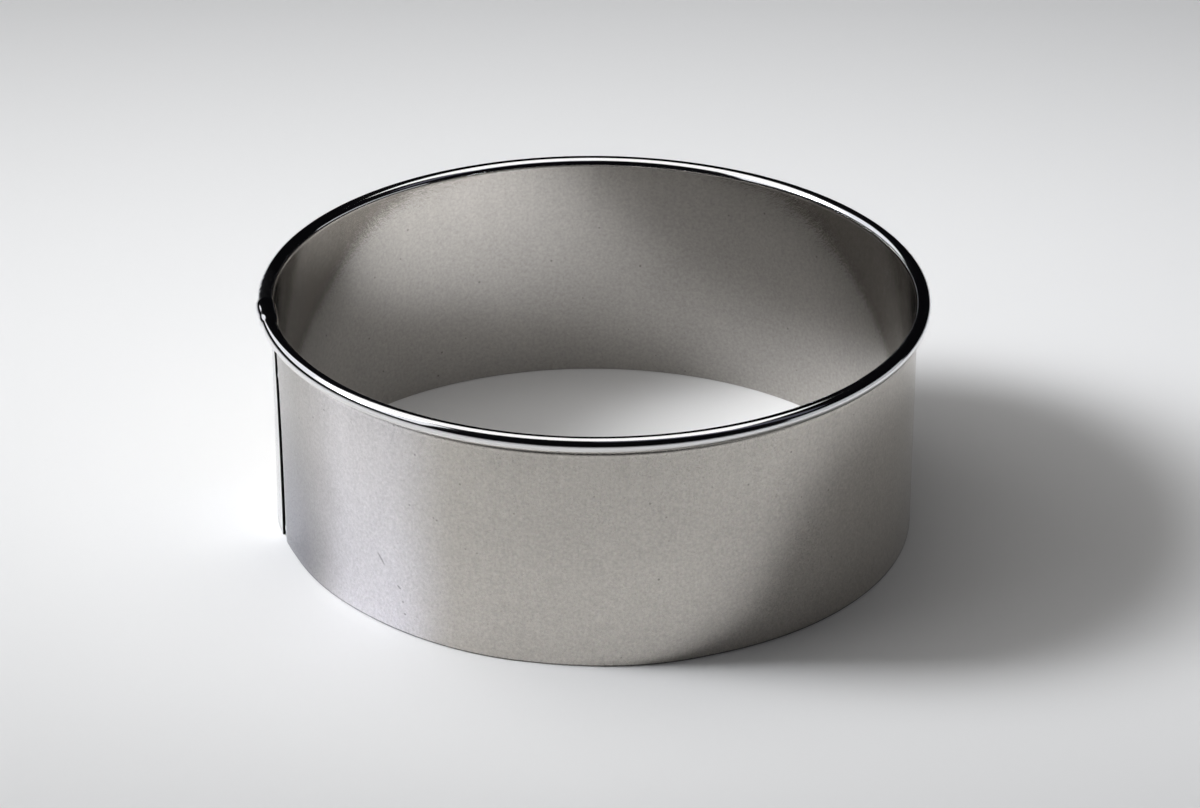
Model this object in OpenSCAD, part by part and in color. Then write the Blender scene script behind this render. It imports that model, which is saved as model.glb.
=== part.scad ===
// Plain round biscuit cutter: one strip of tinned sheet rolled to a ring, its
// ends lapped and soldered at the side, its top edge rolled outwards around a wire.
// The origin is on the ring's axis at the cutting edge, with +Z up.

/* [Ring] */
// Outside diameter of the wall, which is the cutting size
wall_d = 100; // [60:1:160]
// Overall height, from the cutting edge to the top of the rolled rim
height = 38.5; // [20:0.5:70]
// Thickness of the tinned sheet
sheet_t = 0.4; // [0.3:0.05:0.6]

/* [Rolled rim] */
// Diameter of the wire inside the rim
wire_d = 1.6; // [1.2:0.1:3]
// Clearance all round the wire inside its roll
wire_clearance = 0.02; // [0.01:0.01:0.1]
// Gap left between the roll's cut edge and the wall
roll_gap = 0.1; // [0.05:0.05:0.3]
// Gap between the two ends of the wire
wire_joint = 0.4; // [0.2:0.1:1]

/* [Side seam] */
// Where the outer end of the strip stops, counted anticlockwise from +X
seam_angle = 191; // [170:1:210]
// Length of strip that lies inside the outer end
lap = 6; // [3:0.5:10]
// Distance from the outer end to the step where the strip comes back out
groove = 2; // [0.5:0.5:4]
// Length of that step
step_l = 1; // [0.6:0.1:3]
// Thickness of the solder between the two layers
solder_t = 0.05; // [0.03:0.01:0.2]

/* [Hidden] */
$fn = 240;

wall_r = wall_d / 2;
roll_inner_r = wire_d / 2 + wire_clearance;
wire_ring_r = wall_r + roll_inner_r;
roll_z = height - roll_inner_r - sheet_t;

// The inner end sits one thickness and one solder film inside the outer end
tuck = sheet_t + solder_t;
lap_start = seam_angle - arc(lap);
step_start = seam_angle + arc(groove);
full_turn = 360 - arc(groove);

// Angle that a length of strip takes up on the wall
function arc(length) = length / wall_r * 180 / PI;

// Angle below the wire at which a roll of this radius is a gap away from the wall
function roll_stop(r) = acos(-(roll_inner_r - roll_gap) / r);

// Section of a layer of sheet whose faces lie near and far from the wire's side
module layer_section(near, far) {
    r_in = roll_inner_r + near;
    r_out = roll_inner_r + far;
    reach = 3 * r_out;
    stop = roll_stop(r_out);
    translate([wall_r - far, 0]) square([far - near, roll_z]);
    translate([wire_ring_r, roll_z]) difference() {
        circle(r = r_out);
        circle(r = r_in);
        // The open part of the roll, between the wall and the cut edge
        polygon([[0, 0], [-reach, 0], [-reach, -reach], [reach * cos(stop), -reach * sin(stop)]]);
    }
}

// Revolves a section about the ring's axis, from one angle over a sweep
module around(from, sweep) {
    rotate_extrude(angle = sweep, start = from) children();
}

module band() {
    color("silver") {
        around(step_start, full_turn) layer_section(0, sheet_t);
        // The step joins the full ring to the end that lies inside it
        around(step_start, arc(step_l)) layer_section(0, tuck + sheet_t);
        around(lap_start, arc(lap + groove + step_l)) layer_section(tuck, tuck + sheet_t);
    }
}

module rim_wire() {
    color("gray")
        around(seam_angle, 360 - arc(wire_joint))
            translate([wire_ring_r, roll_z]) circle(d = wire_d);
}

// Solder film that fills the lap, in the wall and around the rim
module seam_solder() {
    color("gainsboro")
        around(lap_start, arc(lap)) layer_section(sheet_t, tuck);
}

band();
rim_wire();
seam_solder();
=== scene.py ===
"""A plain round biscuit cutter of tinned sheet, in a soft studio light."""

import math

import bmesh
import bpy
from mathutils import Matrix, Vector


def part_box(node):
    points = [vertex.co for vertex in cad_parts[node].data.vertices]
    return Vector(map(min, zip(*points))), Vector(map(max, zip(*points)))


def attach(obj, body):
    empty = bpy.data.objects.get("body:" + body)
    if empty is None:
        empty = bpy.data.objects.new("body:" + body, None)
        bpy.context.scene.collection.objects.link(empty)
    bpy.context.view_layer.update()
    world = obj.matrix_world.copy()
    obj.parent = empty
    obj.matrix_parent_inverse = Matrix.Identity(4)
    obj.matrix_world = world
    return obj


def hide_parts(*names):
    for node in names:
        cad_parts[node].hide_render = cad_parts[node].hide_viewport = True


bl_info = {
    "name": "Biscuit cutter",
    "version": (1, 0, 0),
    "blender": (4, 5, 0),
    "location": "3D View > Sidebar > Cutter",
    "description": "Models and finishes a rolled tinplate biscuit cutter and its studio",
    "category": "Object",
}

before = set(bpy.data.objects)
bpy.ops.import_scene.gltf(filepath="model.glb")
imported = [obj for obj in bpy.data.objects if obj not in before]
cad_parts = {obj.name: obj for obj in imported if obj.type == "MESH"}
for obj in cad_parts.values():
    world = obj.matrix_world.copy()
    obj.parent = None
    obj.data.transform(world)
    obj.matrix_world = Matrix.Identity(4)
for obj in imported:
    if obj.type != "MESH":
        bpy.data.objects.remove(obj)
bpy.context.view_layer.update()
BODY = "root"
MM = 0.001

# The wire is measured from its node, because everything in the rim lies round it
WIRE_LOW, WIRE_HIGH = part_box("rim_wire")
WIRE_R = (WIRE_HIGH.z - WIRE_LOW.z) / 2
ROLL_Z = (WIRE_HIGH.z + WIRE_LOW.z) / 2
WIRE_RING_R = WIRE_HIGH.y - WIRE_R
ROLL_OUTER_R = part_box("band")[1].y - WIRE_RING_R
UNDER_RIM = ROLL_Z - ROLL_OUTER_R

ROLL_POINTS = 60
NECK_RUN = 3.0 * MM
NECK_CUTS = 15
WALL_CUTS = 22
SEAM_CUTS = 90
TURN_STEPS = 360
LAP_STEPS = 10
EASE_STEPS = 12
SMEAR_STEPS = 48
FILLET_STEPS = 16

# Where round the ring the foot leans, in degrees: from and to for the rise, then for the fall
LEAN_IN_TURNS = (181, 202, 220, 258)
LEAN_OUT_TURNS = (258, 280, 280, 294)
# The neck under the rim, in millimetres below the wire's centre, in the same order
NECK_DEPTHS = (0.2, 1.1, 1.8, 2.2)
# Share of the lap at which the rim begins to be squeezed, and the share over which it is
SQUEEZE_FROM = 0.25
SQUEEZE_OVER = 0.6

# Scales of the tin's noises, in waves a metre
GRAIN_SCALE = 2000.0
FINE_SCALE = 6000.0
CLOUD_SCALE = 60.0
SPECK_SCALE = 260.0
DRAG_SCALES = (900.0, 900.0, 45.0)

# Turns from which and to which the painted highlight and the painted shade outside fade in, in degrees from
# +X
PAINTED_HIGHLIGHT_LEFT = (-158, -138)
PAINTED_HIGHLIGHT_RIGHT = (-113, -129)
# Turns of the painted shade by the seam's foot
PAINTED_SHADE_TURNS = (-136, -161)
RAGGED_BY = 0.10
# Heights from which and to which the painted highlight and the painted shade grow stronger
LOW_HEIGHTS = (34.0 * MM, 4.0 * MM)
# Heights from which and to which the painted shade along the cutting edge fades in
FOOT_PAINTED_SHADE = (0.30 * MM, 0.16 * MM)
# Short scratches low on the outside: turn and slant in degrees, height and half length in millimetres
SCRATCHES = (
    (-130.2, -50.0, 11.25, 1.10),
    (-126.1, -30.0, 7.60, 0.50),
    (-125.3, 90.0, 5.30, 0.18),
    (-124.9, 0.0, 3.30, 0.25),
    (-117.7, 90.0, 21.20, 0.16),
)
SCRATCH_HALF_WIDTH = 0.18 * MM

# Heights and half height of the drops in the solder along the outer end
DROPS = (28.6 * MM, 2.0 * MM)
DROP_HALF = 0.4 * MM
# Least thickness of the solder over the smear, and the thickness that its full weight stands for
SKIN = 0.005 * MM
FULL_THICKNESS = 0.4 * MM

COOL = (0.96, 0.975, 1.0)
WARM = (1.0, 0.99, 0.97)
BLUE = (0.8, 0.8, 1.0)
# Lamps, in metres, each facing its target; the key's light also ends at a reach off its axis
SOFTBOXES = {
    "window": {
        "place": (-0.71, 0.21, 0.60), "size": (1.38, 0.70), "target": (0, 0.21, 0.60), "colour": COOL,
    },
    "key": {
        "place": (-0.70, 0.06, 0.57), "size": (0.34, 0.34), "target": (0.10, 0.05, 0), "colour": COOL,
        "reach": math.radians(16),
    },
    "overhead": {
        "place": (-0.16, 0.035, 0.33), "size": (0.68, 0.27), "target": (-0.16, 0.035, 0), "colour": WARM,
    },
    "strip": {
        "place": (0.40, -0.145, 0.46), "size": (0.80, 0.18), "target": (0.40, 0, 0), "colour": BLUE,
    },
    "card": {
        "place": (0.80, 0, 0.09), "size": (0.80, 0.18), "target": (0, 0, 0.09), "colour": COOL,
    },
}
FLOOR_SIZE = 6.0
FLOOR_COLOUR = (0.88, 0.88, 0.88)
DARK_COLOUR = (0.002, 0.002, 0.0025)


class Socket:
    """Wraps a node's output, so that shader maths reads as an expression."""

    def __init__(self, finish, out):
        self.finish = finish
        self.out = out

    def _math(self, operation, a, b):
        return self.finish.node("ShaderNodeMath", {"operation": operation}, {0: a, 1: b})

    def __add__(self, other):
        return self._math("ADD", self, other)

    def __radd__(self, other):
        return self._math("ADD", other, self)

    def __sub__(self, other):
        return self._math("SUBTRACT", self, other)

    def __rsub__(self, other):
        return self._math("SUBTRACT", other, self)

    def __mul__(self, other):
        return self._math("MULTIPLY", self, other)

    def __rmul__(self, other):
        return self._math("MULTIPLY", other, self)

    def root(self):
        return self._math("SQRT", self, 0.0)

    def angle_over(self, other):
        """Angle of the point that lies this far up and the other along."""
        return self._math("ARCTAN2", self, other)

    def either(self, other):
        return self._math("MAXIMUM", self, other)


class Finish:
    """One node material, with a few helpers for building it."""

    def __init__(self, name, owner=None):
        self.owner = owner or bpy.data.materials.new(name)
        self.owner.use_nodes = True
        self.tree = self.owner.node_tree
        self.shader = self.tree.nodes.get("Principled BSDF")

    def node(self, kind, settings=None, values=None, output=0):
        made = self.tree.nodes.new(kind)
        for key, value in (settings or {}).items():
            setattr(made, key, value)
        for key, value in (values or {}).items():
            self.feed(made.inputs[key], value)
        return Socket(self, made.outputs[output])

    def feed(self, socket, value):
        if isinstance(value, Socket):
            self.tree.links.new(value.out, socket)
        else:
            socket.default_value = value

    def principled(self, **values):
        for key, value in values.items():
            name = key.replace("_", " ").title().replace("Ior", "IOR")
            self.feed(self.shader.inputs[name], value)

    def place(self):
        return self.node("ShaderNodeTexCoord", output="Object")

    def split(self, vector):
        """The vector's x, y and z."""
        first = self.node("ShaderNodeSeparateXYZ", {}, {0: vector})
        return [Socket(self, out) for out in first.out.node.outputs]

    def noise(self, vector, scale, detail=2.0, roughness=0.5):
        values = {"Vector": vector, "Scale": scale, "Detail": detail, "Roughness": roughness}
        return self.node("ShaderNodeTexNoise", {}, values)

    def stretch(self, vector, scale):
        return self.node("ShaderNodeMapping", {}, {"Vector": vector, "Scale": scale})

    def fade(self, value, low, high):
        """0 below low, 1 above high, and smooth between; low may be the larger."""
        values = {"Value": value, 1: low, 2: high, 3: 0.0, 4: 1.0}
        return self.node("ShaderNodeMapRange", {"interpolation_type": "SMOOTHSTEP"}, values)

    def blend(self, factor, first, second, mode="MIX"):
        settings = {"data_type": "RGBA", "blend_type": mode}
        return self.node("ShaderNodeMix", settings, {0: factor, 6: first, 7: second}, output=2)

    def bump(self, height, strength, distance, normal=None):
        values = {"Height": height, "Strength": strength, "Distance": distance}
        if normal is not None:
            values["Normal"] = normal
        return self.node("ShaderNodeBump", {}, values)


def opaque(colour):
    return (*colour, 1.0)


class Tin(Finish):
    """Tin plate on one side of the sheet, with its noises, the masks of its marks and the masks of its
    painted highlights and painted shade.
    """

    def __init__(self, name, seam, outside):
        """outside is 1 on the outer face, where most of the marks and the painted light and shade are, and 0
        inside.
        """
        super().__init__(name)
        self.outside = outside
        self.wall_r = seam.wall_r
        spot = self.place()
        self.x, self.y, self.z = self.split(spot)
        self.turn = self.y.angle_over(self.x)
        self.grain = self.noise(spot, GRAIN_SCALE, 3.0, 0.65)
        self.fine = self.noise(spot, FINE_SCALE)
        self.cloud = self.noise(spot, CLOUD_SCALE, 3.0)
        drag = self.noise(self.stretch(spot, DRAG_SCALES), 1.0)
        self.streaks = drag * self.fade(self.z, 20.0 * MM, 34.0 * MM)
        speck = self.node("ShaderNodeTexVoronoi", {}, {"Vector": spot, "Scale": SPECK_SCALE})
        self.pits = self.fade(speck, 0.06, 0.03)
        self.low = self.fade(self.z, *LOW_HEIGHTS)
        edge_y = seam.wall_r * math.sin(seam.angle)
        self.past_seam = self.fade(self.y, edge_y, edge_y - 0.05 * MM)

    def burnished(self):
        """The rim: what lies outside the wall, or above the wire's centre."""
        radius = (self.x * self.x + self.y * self.y).root()
        wall_face = WIRE_RING_R - ROLL_OUTER_R
        past_wall = self.fade(radius, wall_face + 0.5 * MM, wall_face + 0.7 * MM)
        by_rim = self.fade(self.z, UNDER_RIM - 0.6 * MM, UNDER_RIM - 0.2 * MM)
        above = self.fade(self.z, ROLL_Z - 0.4 * MM, ROLL_Z + 0.4 * MM)
        return (past_wall * by_rim).either(above)

    def from_turn(self, turns):
        """0 at the first turn and 1 at the second, with a ragged change between them."""
        ragged = self.turn + RAGGED_BY * (self.cloud - 0.5)
        return self.fade(ragged, *(math.radians(turn) for turn in turns))

    def painted_highlight(self):
        """A painted highlight: a pale patch that stands in for a reflection, strongest low on the wall."""
        patch = self.from_turn(PAINTED_HIGHLIGHT_LEFT) * self.from_turn(PAINTED_HIGHLIGHT_RIGHT)
        return patch * (0.6 + 0.4 * self.low) * self.outside

    def painted_shade(self):
        """Painted shade: the sheet darkened between the painted highlight and the seam's foot, standing in
        for dimmer reflected light.
        """
        return self.from_turn(PAINTED_SHADE_TURNS) * (0.4 + 0.6 * self.low) * self.past_seam * self.outside

    def wiped(self):
        """A painted highlight: a paler colour over the outer end, just behind the seam."""
        near = self.fade(self.y, 9.0 * MM, 1.0 * MM) * self.fade(self.x, 0.0, -10.0 * MM)
        return (1.0 - self.past_seam) * near * self.outside

    def painted_highlight_line(self):
        """A painted highlight: a bright line under the rim."""
        under = ROLL_Z - self.z
        return self.fade(under, 2.2 * MM, 2.3 * MM) * self.fade(under, 2.75 * MM, 2.5 * MM) * self.outside

    def scratches(self):
        """The short scratches low on the wall."""
        total = 0.0
        for where, slant, height, half_length in SCRATCHES:
            across = (self.turn - math.radians(where)) * self.wall_r
            up = self.z - height * MM
            lean = math.radians(slant)
            along = (across * math.cos(lean) + up * math.sin(lean)) * (1 / (half_length * MM))
            aside = (up * math.cos(lean) - across * math.sin(lean)) * (1 / SCRATCH_HALF_WIDTH)
            total = total + self.fade(along * along + aside * aside, 1.5, 0.4)
        return total * self.outside

    def foot(self):
        """Painted shade: a dark line along the cutting edge."""
        return self.fade(self.z, *FOOT_PAINTED_SHADE) * self.outside


def tinned_finish(look, name, seam, sheet_colour, roughness, outside):
    """Satin tin plate on the wall, burnished on the rolled rim, with painted highlights and painted shade.
    """
    tin = Tin(name, seam, outside)
    rim = tin.burnished()
    scratches = tin.scratches()

    # Painted highlight: the pale patch low on the left of the outer wall
    plain = tin.blend(tin.painted_highlight(), opaque(sheet_colour), opaque(look.painted_highlight_colour))
    # Painted highlight: the outer end just behind the seam is paler
    tinned = tin.blend(tin.wiped(), plain, opaque(look.end_highlight_colour))
    # Painted shade: darker sheet by the seam's foot
    painted_shaded = tin.blend(tin.painted_shade(), tinned, opaque(look.painted_shade_colour))
    # The shade factor paints a highlight: a bright line under the rim
    shade = 0.54 + 0.60 * tin.grain + 0.20 * tin.cloud + 0.12 * tin.streaks + 0.12 * tin.painted_highlight_line()
    # Pits and scratches are real marks; the dark line along the cutting edge is painted shade
    shade = shade - 0.40 * tin.pits - 0.40 * scratches - 0.62 * tin.foot()
    satin = tin.blend(1.0, painted_shaded, shade, "MULTIPLY")
    # Painted shade: the rim's lower half gets a darker colour than its top
    rim_up = tin.fade(tin.z, ROLL_Z - 0.5 * MM, ROLL_Z + 0.2 * MM)
    bright = tin.blend(rim_up, opaque(look.rim_shaded_colour), opaque(look.rim_colour))

    haze = tin.fade(tin.fine, 0.44, 0.60) * (0.4 + 0.6 * outside)
    satin_gloss = roughness + look.haze_roughness * haze + 0.03 * tin.grain
    rim_gloss = look.rim_roughness + 0.05 * tin.fine
    height = (tin.grain + 0.5 * tin.fine + 0.5 * tin.streaks - 1.5 * scratches) * (1.0 - 0.8 * rim)
    waves = tin.bump(tin.cloud, 0.25, 0.3 * MM)
    tin.principled(
        base_color=tin.blend(rim, satin, bright),
        metallic=1.0,
        roughness=satin_gloss * (1.0 - rim) + rim_gloss * rim,
        normal=tin.bump(height, 0.4, 0.02 * MM, waves),
    )
    return tin.owner


def cut_edge_and_shadow_finish(look):
    """Bare cut steel at the strip's ends, gone dark, made near black as painted shadow; the strip beside the
    outer end takes it too.
    """
    finish = Finish("cut_edge_and_shadow")
    grain = finish.noise(finish.place(), 4000.0)
    finish.principled(
        base_color=finish.blend(grain, opaque(look.edge_and_shadow_colour), opaque(look.edge_dust_colour)),
        metallic=0.0,
        roughness=0.6 + 0.2 * grain,
        specular_ior_level=0.08,
    )
    return finish.owner


def wire_finish(look):
    """Drawn steel wire."""
    finish = Finish("drawn_wire")
    grain = finish.noise(finish.place(), 3000.0)
    finish.principled(
        base_color=finish.blend(grain, opaque(look.wire_colour), opaque(look.wire_pale_colour)),
        metallic=1.0,
        roughness=0.35 + 0.1 * grain,
        normal=finish.bump(grain, 0.2, 0.01 * MM),
    )
    return finish.owner


def solder_finish(look):
    """Soft solder, bright and a little uneven."""
    finish = Finish("soft_solder")
    grain = finish.noise(finish.place(), 1800.0, 3.0)
    finish.principled(
        base_color=finish.blend(grain, opaque(look.solder_colour), opaque(look.solder_dull_colour)),
        metallic=1.0,
        roughness=0.08 + 0.16 * grain,
        normal=finish.bump(grain, 0.4, 0.05 * MM),
    )
    return finish.owner


class CutterSizes(bpy.types.PropertyGroup):
    """Sizes of the sheet, its seam and its lean"""

    sheet_t: bpy.props.FloatProperty(
        name="Sheet", description="Thickness of the tinned sheet",
        default=0.4 * MM, unit="LENGTH", precision=5,
    )
    roll_gap: bpy.props.FloatProperty(
        name="Roll gap", description="Gap between the roll's cut edge and the wall",
        default=0.1 * MM, unit="LENGTH",
    )
    edge_round: bpy.props.FloatProperty(
        name="Edge", description="Rounding of the sheet's cut edges",
        default=0.04 * MM, unit="LENGTH", precision=5,
    )
    seam_angle: bpy.props.FloatProperty(
        name="Seam", description="Where the outer end stops, anticlockwise from +X", subtype="ANGLE",
        default=math.radians(191.0),
    )
    lap: bpy.props.FloatProperty(
        name="Lap", description="Length of strip under the outer end", default=5.0 * MM, unit="LENGTH"
    )
    ease: bpy.props.FloatProperty(
        name="Ease", description="Length over which the strip comes back out",
        default=3.0 * MM, unit="LENGTH",
    )
    rim_ease: bpy.props.FloatProperty(
        name="Rim ease", description="The same length, in the rolled rim", default=1.75 * MM, unit="LENGTH"
    )
    proud_start: bpy.props.FloatProperty(
        name="Rim step", description="Height of the lap's step on the rim", default=0.35 * MM, unit="LENGTH",
        precision=5,
    )
    proud_end: bpy.props.FloatProperty(
        name="Squeezed rim", description="Height of the lap on the rim at the seam", default=0.20 * MM,
        unit="LENGTH", precision=5,
    )
    solder_t: bpy.props.FloatProperty(
        name="Solder", description="Thickness of the solder in the lap",
        default=0.05 * MM, unit="LENGTH", precision=5,
    )
    fillet_w: bpy.props.FloatProperty(
        name="Fillet", description="Width of the solder along the outer end", default=2.1 * MM, unit="LENGTH"
    )
    # The strip's dark is painted shadow and flux residue
    fillet_gap: bpy.props.FloatProperty(
        name="Fillet gap", description="Dark strip between the outer end and the solder", default=0.5 * MM,
        unit="LENGTH",
    )
    fillet_h: bpy.props.FloatProperty(
        name="Fillet height", description="Height of the solder along the outer end", default=0.06 * MM,
        unit="LENGTH", precision=5,
    )
    smear: bpy.props.FloatProperty(
        name="Smear", description="Length of the solder smeared over the rim",
        default=11.0 * MM, unit="LENGTH",
    )
    smear_t: bpy.props.FloatProperty(
        name="Smear height", description="Thickness of the solder on the rim",
        default=0.06 * MM, unit="LENGTH", precision=5,
    )
    lean_in: bpy.props.FloatProperty(
        name="Lean in", description="How far the cutting edge lies inside the true circle", default=1.0 * MM,
        unit="LENGTH", precision=5,
    )
    lean_out: bpy.props.FloatProperty(
        name="Lean out", description="How far it lies outside, further round",
        default=0.4 * MM, unit="LENGTH", precision=5,
    )
    stiff_z: bpy.props.FloatProperty(
        name="Stiff above", description="Height above which the rim keeps the wall true", default=33.0 * MM,
        unit="LENGTH",
    )
    neck: bpy.props.FloatProperty(
        name="Neck", description="How far the wall is pinched in under the rim",
        default=0.10 * MM, unit="LENGTH", precision=5,
    )
    foot_round: bpy.props.FloatProperty(
        name="Cutting edge", description="Rounding of the cutting edge",
        default=0.13 * MM, unit="LENGTH", precision=5,
    )


class CutterLook(bpy.types.PropertyGroup):
    """Colours and gloss of the metal"""

    outer_colour: bpy.props.FloatVectorProperty(
        name="Outer colour", description="Satin tin plate outside", subtype="COLOR",
        default=(0.56, 0.53, 0.49),
    )
    inner_colour: bpy.props.FloatVectorProperty(
        name="Inner colour", description="Satin tin plate inside", subtype="COLOR",
        default=(0.475, 0.455, 0.43),
    )
    # Colour of the painted highlight, a pale patch that stands in for a reflection
    painted_highlight_colour: bpy.props.FloatVectorProperty(
        name="Highlight colour", description="Pale patch on the tin", subtype="COLOR", default=(0.84, 0.82, 0.86)
    )
    # Colour of the painted highlight over the outer end
    end_highlight_colour: bpy.props.FloatVectorProperty(
        name="Glint colour", description="Solder wiped thinly over the outer end", subtype="COLOR",
        default=(0.74, 0.74, 0.75),
    )
    # Colour of the painted shade by the seam's foot
    painted_shade_colour: bpy.props.FloatVectorProperty(
        name="Shading colour", description="Sheet darkened near the seam's foot", subtype="COLOR",
        default=(0.25, 0.25, 0.28),
    )
    # Colour of the rim's lower half, darker as painted shade
    rim_shaded_colour: bpy.props.FloatVectorProperty(
        name="Rim's underside", description="Tin on the rim's lower half", subtype="COLOR",
        default=(0.74, 0.73, 0.71),
    )
    rim_colour: bpy.props.FloatVectorProperty(
        name="Rim colour", description="Burnished tin on the rim", subtype="COLOR",
        default=(0.92, 0.92, 0.94),
    )
    # Near black: dark cut steel and painted shadow
    edge_and_shadow_colour: bpy.props.FloatVectorProperty(
        name="Cut edge colour", description="Dark cut edge at the seam", subtype="COLOR",
        default=(0.004, 0.004, 0.004),
    )
    edge_dust_colour: bpy.props.FloatVectorProperty(
        name="Cut edge, paler", description="Paler grain of the cut edge", subtype="COLOR",
        default=(0.014, 0.013, 0.012),
    )
    wire_colour: bpy.props.FloatVectorProperty(
        name="Wire colour", description="Drawn steel wire", subtype="COLOR", default=(0.32, 0.31, 0.30)
    )
    wire_pale_colour: bpy.props.FloatVectorProperty(
        name="Wire, paler", description="Paler grain of the wire", subtype="COLOR",
        default=(0.42, 0.41, 0.40),
    )
    solder_colour: bpy.props.FloatVectorProperty(
        name="Solder colour", description="Soft solder", subtype="COLOR", default=(0.90, 0.90, 0.92)
    )
    solder_dull_colour: bpy.props.FloatVectorProperty(
        name="Solder, duller", description="Duller grain of the solder", subtype="COLOR",
        default=(0.72, 0.73, 0.77),
    )
    outer_roughness: bpy.props.FloatProperty(
        name="Outer roughness", description="Roughness of the wall outside", default=0.11, min=0.0, max=1.0
    )
    inner_roughness: bpy.props.FloatProperty(
        name="Inner roughness", description="Roughness of the wall inside", default=0.04, min=0.0, max=1.0
    )
    haze_roughness: bpy.props.FloatProperty(
        name="Haze", description="Added roughness of the wall's fine haze", default=0.22, min=0.0, max=1.0
    )
    rim_roughness: bpy.props.FloatProperty(
        name="Rim roughness", description="Roughness of the burnished rim", default=0.06, min=0.0, max=1.0
    )


class CutterStudio(bpy.types.PropertyGroup):
    """Camera and lights"""

    distance: bpy.props.FloatProperty(
        name="Distance", description="Camera's distance from the ring's base", default=0.70, unit="LENGTH"
    )
    elevation: bpy.props.FloatProperty(
        name="Elevation", description="Camera's angle above the base",
        default=math.radians(28.06), subtype="ANGLE",
    )
    roll: bpy.props.FloatProperty(
        name="Roll", description="Camera's turn about its own axis",
        default=math.radians(0.26), subtype="ANGLE",
    )
    target: bpy.props.FloatVectorProperty(
        name="Target", description="Point at the middle of the picture", subtype="TRANSLATION",
        default=(0.93 * MM, 0.0, 18.35 * MM),
    )
    lens: bpy.props.FloatProperty(name="Lens", description="Focal length in millimetres", default=132.4)
    key_radiance: bpy.props.FloatProperty(
        name="Key", description="Brightness of the lamp behind the window's middle", default=50.0, min=0.0
    )
    window_radiance: bpy.props.FloatProperty(
        name="Window", description="Brightness of the wide softbox on the left", default=0.9, min=0.0
    )
    overhead_radiance: bpy.props.FloatProperty(
        name="Overhead", description="Brightness of the softbox above", default=1.05, min=0.0
    )
    strip_radiance: bpy.props.FloatProperty(
        name="Strip", description="Brightness of the faint strip on the right", default=0.09, min=0.0
    )
    card_radiance: bpy.props.FloatProperty(
        name="Card", description="Brightness of the low card on the right", default=0.45, min=0.0
    )


def deselect_all():
    bpy.ops.object.select_all(action="DESELECT")


def pick(piece, test):
    """Selects the vertices that pass the test, in edit mode."""
    mesh = bmesh.from_edit_mesh(piece.data)
    for vert in mesh.verts:
        vert.select = test(vert.co)
    mesh.select_flush_mode()
    bmesh.update_edit_mesh(piece.data)


def angle_of(co):
    """Angle round the ring's axis, from 0 to a full turn."""
    return math.atan2(co.y, co.x) % (2 * math.pi)


def smooth(value):
    """0 up to 0, 1 from 1 on, and an even S between."""
    value = min(max(value, 0.0), 1.0)
    return value * value * (3 - 2 * value)


def rise_and_fall(value, places):
    """Smoothly up from 0 to 1 between the first two places, and down between the last two."""
    rise_from, rise_to, fall_from, fall_to = places
    rise = smooth((value - rise_from) / (rise_to - rise_from))
    return rise * (1 - smooth((value - fall_from) / (fall_to - fall_from)))


def add_modifier(piece, name, kind, **settings):
    modifier = piece.modifiers.new(name, kind)
    for key, value in settings.items():
        setattr(modifier, key, value)


def apply_modifiers(piece):
    """Applies the modifiers and drops the vertex groups that steered them."""
    for modifier in list(piece.modifiers):
        bpy.ops.object.modifier_apply(modifier=modifier.name)
    piece.vertex_groups.clear()


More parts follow.
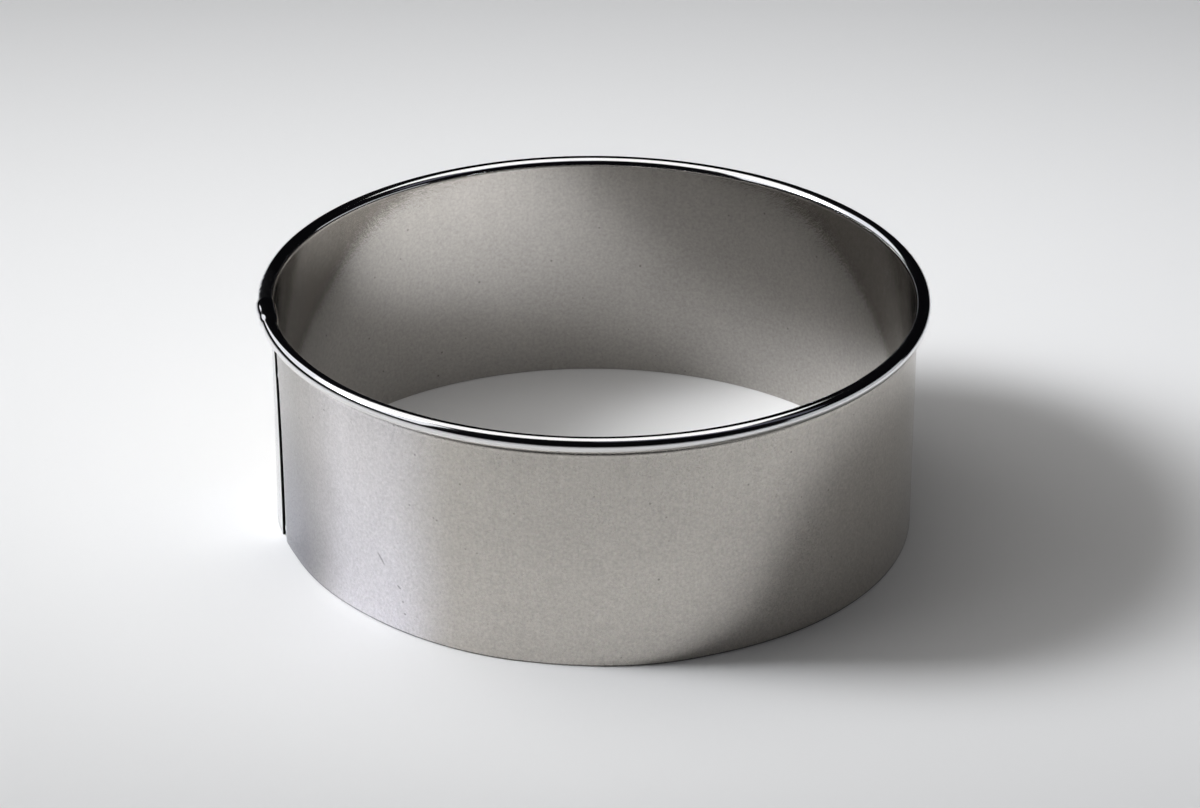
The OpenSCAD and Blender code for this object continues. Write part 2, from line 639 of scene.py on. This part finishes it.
class Seam:
    """Places round the ring's axis, and how far each lies from the plain rolled strip."""

    def __init__(self, sizes):
        self.sizes = sizes
        self.angle = sizes.seam_angle
        self.middle_r = ROLL_OUTER_R - sizes.sheet_t / 2
        self.wall_middle_r = WIRE_RING_R - self.middle_r
        self.wall_r = self.wall_middle_r + sizes.sheet_t / 2
        self.depth = sizes.sheet_t + sizes.solder_t
        self.lap_start = self.angle - sizes.lap / self.wall_r

    def past(self, angle, length):
        """0 at the outer end and before it, 1 at this length past it."""
        return smooth((angle - self.angle) * self.wall_r / length)

    def on_roll(self, co):
        """0 on the wall and 1 on the roll, with a short change between them."""
        return smooth((math.hypot(co.x, co.y) - self.wall_middle_r) / ROLL_OUTER_R)

    def proud(self, angle):
        """How far the lap stands out of the rolled rim."""
        sizes = self.sizes
        through = (angle - self.lap_start) / (self.angle - self.lap_start)
        squeezed = smooth((through - SQUEEZE_FROM) / SQUEEZE_OVER)
        in_lap = sizes.proud_start + (sizes.proud_end - sizes.proud_start) * squeezed
        return in_lap * (1 - self.past(angle, sizes.rim_ease))

    def squeeze(self, angle):
        """What is left of the sheet's thickness where the rim was pressed over the lap."""
        in_lap = (self.proud(min(angle, self.angle)) - self.sizes.solder_t) / self.sizes.sheet_t
        return in_lap + (1 - in_lap) * self.past(angle, self.sizes.rim_ease)

    def lapped_offset(self, co):
        """Distance of the inner end's middle from the outer end's, away from the wire."""
        angle = angle_of(co)
        half = self.sizes.sheet_t / 2
        wall = self.depth * (1 - self.past(angle, self.sizes.ease))
        roll = self.proud(angle) + half * (1 - self.squeeze(angle))
        return wall + (roll - wall) * self.on_roll(co)

    def necked_thickness(self, co):
        """Share of the sheet's thickness left by the neck, whose inside stays smooth."""
        return 1 - self.neck(co) * self.sizes.neck / self.sizes.sheet_t

    def lapped_thickness(self, co):
        return self.necked_thickness(co) * (1 + (self.squeeze(angle_of(co)) - 1) * self.on_roll(co))

    def leaning(self, co, turns):
        """1 at the foot where it leans fully, and 0 out of its turns or near the rim."""
        height = max(0.0, 1 - (co.z / self.sizes.stiff_z) ** 2)
        return rise_and_fall(math.degrees(angle_of(co)), turns) * height

    def leans_in(self, co):
        return self.leaning(co, LEAN_IN_TURNS)

    def leans_out(self, co):
        return self.leaning(co, LEAN_OUT_TURNS)

    def neck(self, co):
        """1 where the wall is pinched in, just under the rolled rim."""
        if math.hypot(co.x, co.y) > self.wall_middle_r + 0.1 * MM:
            return 0.0
        return rise_and_fall((ROLL_Z - co.z) / MM, NECK_DEPTHS)


def weigh(piece, name, weight, first=0):
    """Gives the vertices from first on their weights in a group, from their places."""
    group = piece.vertex_groups.get(name) or piece.vertex_groups.new(name=name)
    for vert in piece.data.vertices[first:]:
        group.add([vert.index], min(max(weight(vert.co), 0.0), 1.0), "REPLACE")


def shape_wall(piece, seam):
    """Leans the wall and pinches it under the rim; the sheet's faces look towards the axis."""
    moves = {
        "lean_in": (seam.leans_in, seam.sizes.lean_in),
        "lean_out": (seam.leans_out, -seam.sizes.lean_out),
        "neck": (seam.neck, seam.sizes.neck / 2),
    }
    for name, (weight, strength) in moves.items():
        weigh(piece, name, weight)
        add_modifier(piece, name, "DISPLACE", strength=strength, mid_level=0.0, vertex_group=name)


def rolled_line(seam, name, foot=0.0, cuts=WALL_CUTS):
    """The sheet's section at the seam: a roll round the wire, and the wall down to its foot."""
    deselect_all()
    radius = seam.middle_r
    bpy.ops.mesh.primitive_circle_add(
        vertices=ROLL_POINTS, radius=radius, location=(WIRE_RING_R, 0, ROLL_Z), rotation=(math.pi / 2, 0, 0)
    )
    piece = bpy.context.object
    piece.name = name
    bpy.ops.object.transform_apply(location=True, rotation=True, scale=True)
    bpy.ops.object.mode_set(mode="EDIT")
    roll_inner_r = ROLL_OUTER_R - seam.sizes.sheet_t
    stop = 2 * math.pi - math.acos(-(roll_inner_r - seam.sizes.roll_gap) / ROLL_OUTER_R)
    touch = math.pi
    slack = 0.01
    close = 0.01 * MM
    neck_end = ROLL_Z - NECK_RUN

    def roll_angle(co):
        return math.atan2(co.z - ROLL_Z, co.x - WIRE_RING_R) % (2 * math.pi)

    def on_neck(co):
        on_wall = co.x < WIRE_RING_R - radius + close
        return on_wall and neck_end - close < co.z < ROLL_Z + close

    pick(piece, lambda co: touch + slack < roll_angle(co) < stop)
    bpy.ops.mesh.delete(type="VERT")
    pick(piece, lambda co: abs(roll_angle(co) - touch) < slack)
    bpy.ops.mesh.extrude_region_move(TRANSFORM_OT_translate={"value": (0, 0, -NECK_RUN)})
    bpy.ops.mesh.extrude_region_move(TRANSFORM_OT_translate={"value": (0, 0, foot + NECK_RUN - ROLL_Z)})
    pick(piece, on_neck)
    bpy.ops.mesh.subdivide(number_cuts=NECK_CUTS)
    pick(piece, lambda co: co.z < neck_end + close)
    bpy.ops.mesh.subdivide(number_cuts=cuts)
    bpy.ops.object.mode_set(mode="OBJECT")
    return piece


def spin_from(piece, start, angle, steps):
    """Spins the line at start on by angle, in edit mode; the operator turns clockwise."""
    close = 0.0005
    pick(piece, lambda co: abs(angle_of(co) - start) < close)
    bpy.ops.mesh.spin(steps=steps, angle=-angle, center=(0, 0, 0), axis=(0, 0, 1), use_auto_merge=False)


def face_axis(piece):
    """Turns the sheet's faces away from the wire, which is towards the axis on the wall."""
    bpy.ops.object.mode_set(mode="EDIT")
    bpy.ops.mesh.select_all(action="SELECT")
    bpy.ops.mesh.normals_make_consistent(inside=False)
    bpy.ops.object.mode_set(mode="OBJECT")
    low = min(piece.data.polygons, key=lambda face: face.center.z)
    if low.normal.dot(Vector((low.center.x, low.center.y, 0))) > 0:
        bpy.ops.object.mode_set(mode="EDIT")
        bpy.ops.mesh.select_all(action="SELECT")
        bpy.ops.mesh.flip_normals()
        bpy.ops.object.mode_set(mode="OBJECT")


class CUTTER_OT_band(bpy.types.Operator):
    """Models the rolled strip, with its lapped seam and wired rim"""

    bl_idname = "cutter.band"
    bl_label = "Model the band"

    def execute(self, context):
        sizes = context.scene.cutter_sizes
        look = context.scene.cutter_look
        seam = Seam(sizes)
        piece = rolled_line(seam, "tin_band")
        self.turn(piece, seam)
        self.thicken(piece, seam)
        outside = tinned_finish(look, "tin_outside", seam, look.outer_colour, look.outer_roughness, 1.0)
        inside = tinned_finish(look, "tin_inside", seam, look.inner_colour, look.inner_roughness, 0.0)
        piece.data.materials.append(outside)
        piece.data.materials.append(inside)
        piece.data.materials.append(cut_edge_and_shadow_finish(look))
        self.mark_faces(piece)
        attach(piece, BODY)
        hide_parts("band")
        return {"FINISHED"}

    def turn(self, piece, seam):
        """Spins the line back for the lap, on for the ease, and then all the way round."""
        lap_angle = seam.angle - seam.lap_start
        ease_angle = seam.sizes.ease / seam.wall_r
        piece.data.transform(Matrix.Rotation(seam.angle, 4, "Z"))
        bpy.ops.object.mode_set(mode="EDIT")
        spin_from(piece, seam.angle, -lap_angle, LAP_STEPS)
        spin_from(piece, seam.angle, ease_angle, EASE_STEPS)
        bpy.ops.object.mode_set(mode="OBJECT")
        weigh(piece, "tuck", lambda co: seam.lapped_offset(co) / seam.depth)
        weigh(piece, "thickness", seam.lapped_thickness)
        made = len(piece.data.vertices)

        bpy.ops.object.mode_set(mode="EDIT")
        spin_from(piece, seam.angle + ease_angle, 2 * math.pi - ease_angle, TURN_STEPS)
        bpy.ops.object.mode_set(mode="OBJECT")
        weigh(piece, "tuck", lambda co: 0.0, made)
        weigh(piece, "thickness", seam.necked_thickness, made)

    def thicken(self, piece, seam):
        """Moves the lap's layers apart, leans the wall and gives the sheet its thickness."""
        face_axis(piece)
        add_modifier(piece, "tuck", "DISPLACE", strength=seam.depth, mid_level=0.0, vertex_group="tuck")
        shape_wall(piece, seam)
        add_modifier(
            piece, "sheet", "SOLIDIFY", thickness=seam.sizes.sheet_t, offset=0.0, use_even_offset=True,
            vertex_group="thickness",
        )
        apply_modifiers(piece)
        self.round_foot(piece, seam)
        add_modifier(
            piece, "edges", "BEVEL", width=seam.sizes.edge_round, segments=2, limit_method="ANGLE",
            angle_limit=math.radians(50),
        )
        apply_modifiers(piece)
        bpy.ops.object.shade_smooth_by_angle(angle=math.radians(35))

    def round_foot(self, piece, seam):
        """Rounds both sides of the cutting edge."""
        bpy.ops.object.mode_set(mode="EDIT")
        bpy.ops.mesh.select_all(action="DESELECT")
        bpy.ops.mesh.select_mode(type="EDGE")
        mesh = bmesh.from_edit_mesh(piece.data)
        low = 0.01 * MM
        half = seam.sizes.sheet_t / 2
        for edge in mesh.edges:
            near, far = (vert.co for vert in edge.verts)
            along = abs(math.hypot(near.x, near.y) - math.hypot(far.x, far.y)) < half
            edge.select = along and near.z < low and far.z < low
        bmesh.update_edit_mesh(piece.data)
        bpy.ops.mesh.bevel(offset=seam.sizes.foot_round, segments=3, affect="EDGES")
        bpy.ops.mesh.select_mode(type="VERT")
        bpy.ops.object.mode_set(mode="OBJECT")

    def mark_faces(self, piece):
        """Gives the inside its own finish, and the strip's two cut ends below the rim the dark one of cut
        steel and painted shadow.
        """
        for face in piece.data.polygons:
            turn = angle_of(face.center)
            across = face.normal.y * math.cos(turn) - face.normal.x * math.sin(turn)
            outwards = face.normal.x * math.cos(turn) + face.normal.y * math.sin(turn)
            if outwards < -0.3:
                face.material_index = 1
            # The cut ends get the near-black finish: dark cut steel and painted shadow
            if abs(across) > 0.3 and face.center.z < UNDER_RIM:
                face.material_index = 2


class CUTTER_OT_wire(bpy.types.Operator):
    """Finishes the wire inside the rim"""

    bl_idname = "cutter.wire"
    bl_label = "Finish the wire"

    def execute(self, context):
        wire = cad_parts["rim_wire"]
        wire.data.materials.clear()
        wire.data.materials.append(wire_finish(context.scene.cutter_look))
        return {"FINISHED"}


class SolderRun:
    """The solder's smear over the rim, its film in the lap and its fillet along the outer end."""

    def __init__(self, seam):
        sizes = seam.sizes
        self.seam = seam
        self.sizes = sizes
        self.half_sheet = sizes.sheet_t / 2
        self.smear_angle = sizes.smear / seam.wall_r
        self.fillet_angle = sizes.fillet_w / seam.wall_r
        self.gap_angle = sizes.fillet_gap / seam.wall_r
        self.start = seam.lap_start - self.smear_angle
        self.most_out = self.half_sheet + max(sizes.solder_t, sizes.smear_t) + 0.1 * MM

    def lumps(self, co):
        """Uneven flow of the solder, from 0 to 1."""
        along = angle_of(co) * self.seam.wall_r / MM
        up = co.z / MM
        crossing = math.sin(6.1 * along + 2.0 * up) * math.sin(4.7 * up - 1.9 * along)
        return 0.5 + 0.25 * (crossing + math.sin(2.7 * along + 1.3 * up))

    def thickness(self, co):
        """Thickness of the solder: film, fillet or smear."""
        angle = angle_of(co)
        if angle > self.seam.angle:
            across = (angle - self.seam.angle - self.gap_angle) / (self.fillet_angle - self.gap_angle)
            drop = sum(math.exp(-(((co.z - z) / DROP_HALF) ** 2)) for z in DROPS)
            ridge = math.sin(math.pi * min(max(across, 0.0), 1.0))
            return self.sizes.fillet_h * ridge * (1 + 1.5 * drop) + 2 * SKIN
        if angle > self.seam.lap_start:
            return self.sizes.solder_t
        from_ends = min(angle - self.start, self.seam.lap_start - angle) / self.smear_angle
        return self.sizes.smear_t * self.lumps(co) * smooth(from_ends / 0.4) + SKIN

    def far_face(self, co):
        """Distance of the solder's far face from the sheet's middle, away from the wire."""
        angle = angle_of(co)
        if angle > self.seam.angle:
            return self.seam.lapped_offset(co) - self.half_sheet + SKIN
        if angle > self.seam.lap_start:
            return self.half_sheet + self.sizes.solder_t
        return self.half_sheet + self.thickness(co) - SKIN

    def in_gap(self, co):
        """In the strip between the outer end and the fillet, painted dark as shadow and flux residue."""
        return 0 < angle_of(co) - self.seam.angle < self.gap_angle


class CUTTER_OT_solder(bpy.types.Operator):
    """Models the solder: a film in the lap, a fillet along the outer end and a smear over the rim"""

    bl_idname = "cutter.solder"
    bl_label = "Model the solder"

    def execute(self, context):
        seam = Seam(context.scene.cutter_sizes)
        look = context.scene.cutter_look
        run = SolderRun(seam)
        piece = rolled_line(seam, "solder_run", foot=0.3 * MM, cuts=SEAM_CUTS)
        self.turn(piece, seam, run)
        self.flow(piece, seam, run)
        piece.data.materials.append(solder_finish(look))
        piece.data.materials.append(cut_edge_and_shadow_finish(look))
        for face in piece.data.polygons:
            # The strip beside the outer end gets the near-black finish: painted shadow and flux residue
            if run.in_gap(face.center):
                face.material_index = 1
        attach(piece, BODY)
        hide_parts("seam_solder")
        return {"FINISHED"}

    def turn(self, piece, seam, run):
        """Spins the line over the smear, the lap and the fillet."""
        piece.data.transform(Matrix.Rotation(run.start, 4, "Z"))
        bpy.ops.object.mode_set(mode="EDIT")
        spin_from(piece, run.start, run.smear_angle, SMEAR_STEPS)
        spin_from(piece, seam.lap_start, seam.angle - seam.lap_start, LAP_STEPS)
        spin_from(piece, seam.angle, run.fillet_angle, FILLET_STEPS)
        self.trim(piece, seam)
        bpy.ops.object.mode_set(mode="OBJECT")

    def trim(self, piece, seam):
        """Leaves the smear on the rim alone, and the fillet on the wall alone."""
        slack = 0.002

        def spare(co):
            angle = angle_of(co)
            if angle < seam.lap_start - slack:
                return co.z < ROLL_Z - 0.3 * MM and math.hypot(co.x, co.y) < WIRE_RING_R
            return angle > seam.angle + slack and co.z > UNDER_RIM

        pick(piece, spare)
        bpy.ops.mesh.delete(type="VERT")

    def flow(self, piece, seam, run):
        """Lays the solder on the sheet and gives it its thickness."""
        weigh(piece, "outside", lambda co: run.far_face(co) / run.most_out)
        weigh(piece, "height", lambda co: run.thickness(co) / FULL_THICKNESS)
        face_axis(piece)
        add_modifier(
            piece, "outside", "DISPLACE", strength=run.most_out, mid_level=0.0, vertex_group="outside"
        )
        shape_wall(piece, seam)
        add_modifier(
            piece, "flow", "SOLIDIFY", thickness=FULL_THICKNESS, offset=-1.0, vertex_group="height"
        )
        apply_modifiers(piece)
        bpy.ops.object.shade_smooth_by_angle(angle=math.radians(35))


class CUTTER_OT_studio(bpy.types.Operator):
    """Makes the floor, the lights and the camera"""

    bl_idname = "cutter.studio"
    bl_label = "Set up the studio"

    def execute(self, context):
        studio = context.scene.cutter_studio
        self.floor()
        self.world(context)
        for name, lamp in SOFTBOXES.items():
            self.softbox(name, getattr(studio, f"{name}_radiance"), **lamp)
        self.camera(context, studio)
        context.scene.view_settings.view_transform = "Standard"
        return {"FINISHED"}

    def floor(self):
        deselect_all()
        bpy.ops.mesh.primitive_plane_add(size=FLOOR_SIZE, location=(0, 0, 0))
        floor = bpy.context.object
        floor.name = "studio_floor"
        finish = Finish("studio_floor")
        finish.principled(base_color=opaque(FLOOR_COLOUR), roughness=0.9, specular_ior_level=0.0)
        floor.data.materials.append(finish.owner)

    def world(self, context):
        world = bpy.data.worlds.new("studio")
        context.scene.world = world
        finish = Finish("studio", world)
        background = finish.tree.nodes["Background"]
        finish.feed(background.inputs["Color"], opaque(DARK_COLOUR))

    def softbox(self, name, radiance, place, size, target, colour, reach=None):
        """An area lamp; with a reach, its light falls to nothing that far off its axis."""
        light = bpy.data.lights.new(name, "AREA")
        light.shape = "RECTANGLE"
        light.size, light.size_y = size
        light.energy = radiance * math.pi * size[0] * size[1]
        light.color = colour
        if reach:
            light.spread = 2 * reach
            light.energy *= (math.tan(reach) - reach) / math.tan(reach)
        lamp = bpy.data.objects.new(name, light)
        bpy.context.collection.objects.link(lamp)
        lamp.location = place
        lamp.rotation_euler = (Vector(target) - Vector(place)).to_track_quat("-Z", "Y").to_euler()

    def camera(self, context, studio):
        camera = bpy.data.cameras.new("camera")
        camera.lens = studio.lens
        camera.sensor_width = 36.0
        camera.clip_start = 0.01
        eye = bpy.data.objects.new("camera", camera)
        context.collection.objects.link(eye)
        reach = studio.distance
        eye.location = (0, -reach * math.cos(studio.elevation), reach * math.sin(studio.elevation))
        eye.rotation_euler = (Vector(studio.target) - eye.location).to_track_quat("-Z", "Y").to_euler()
        eye.rotation_euler.rotate_axis("Z", studio.roll)
        context.scene.camera = eye


class CUTTER_PT_panel(bpy.types.Panel):
    """Lists the cutter's steps"""

    bl_label = "Biscuit cutter"
    bl_space_type = "VIEW_3D"
    bl_region_type = "UI"
    bl_category = "Cutter"

    def draw(self, context):
        for step in STEPS:
            self.layout.operator(step.bl_idname)


STEPS = (CUTTER_OT_band, CUTTER_OT_wire, CUTTER_OT_solder, CUTTER_OT_studio)
GROUPS = {"cutter_sizes": CutterSizes, "cutter_look": CutterLook, "cutter_studio": CutterStudio}
CLASSES = (*GROUPS.values(), *STEPS, CUTTER_PT_panel)


def register():
    for cls in CLASSES:
        bpy.utils.register_class(cls)
    for name, group in GROUPS.items():
        setattr(bpy.types.Scene, name, bpy.props.PointerProperty(type=group))


def unregister():
    for name in GROUPS:
        delattr(bpy.types.Scene, name)
    for cls in reversed(CLASSES):
        bpy.utils.unregister_class(cls)


def main():
    register()
    bpy.ops.cutter.band()
    bpy.ops.cutter.wire()
    bpy.ops.cutter.solder()
    bpy.ops.cutter.studio()


if __name__ == "__main__":
    main()
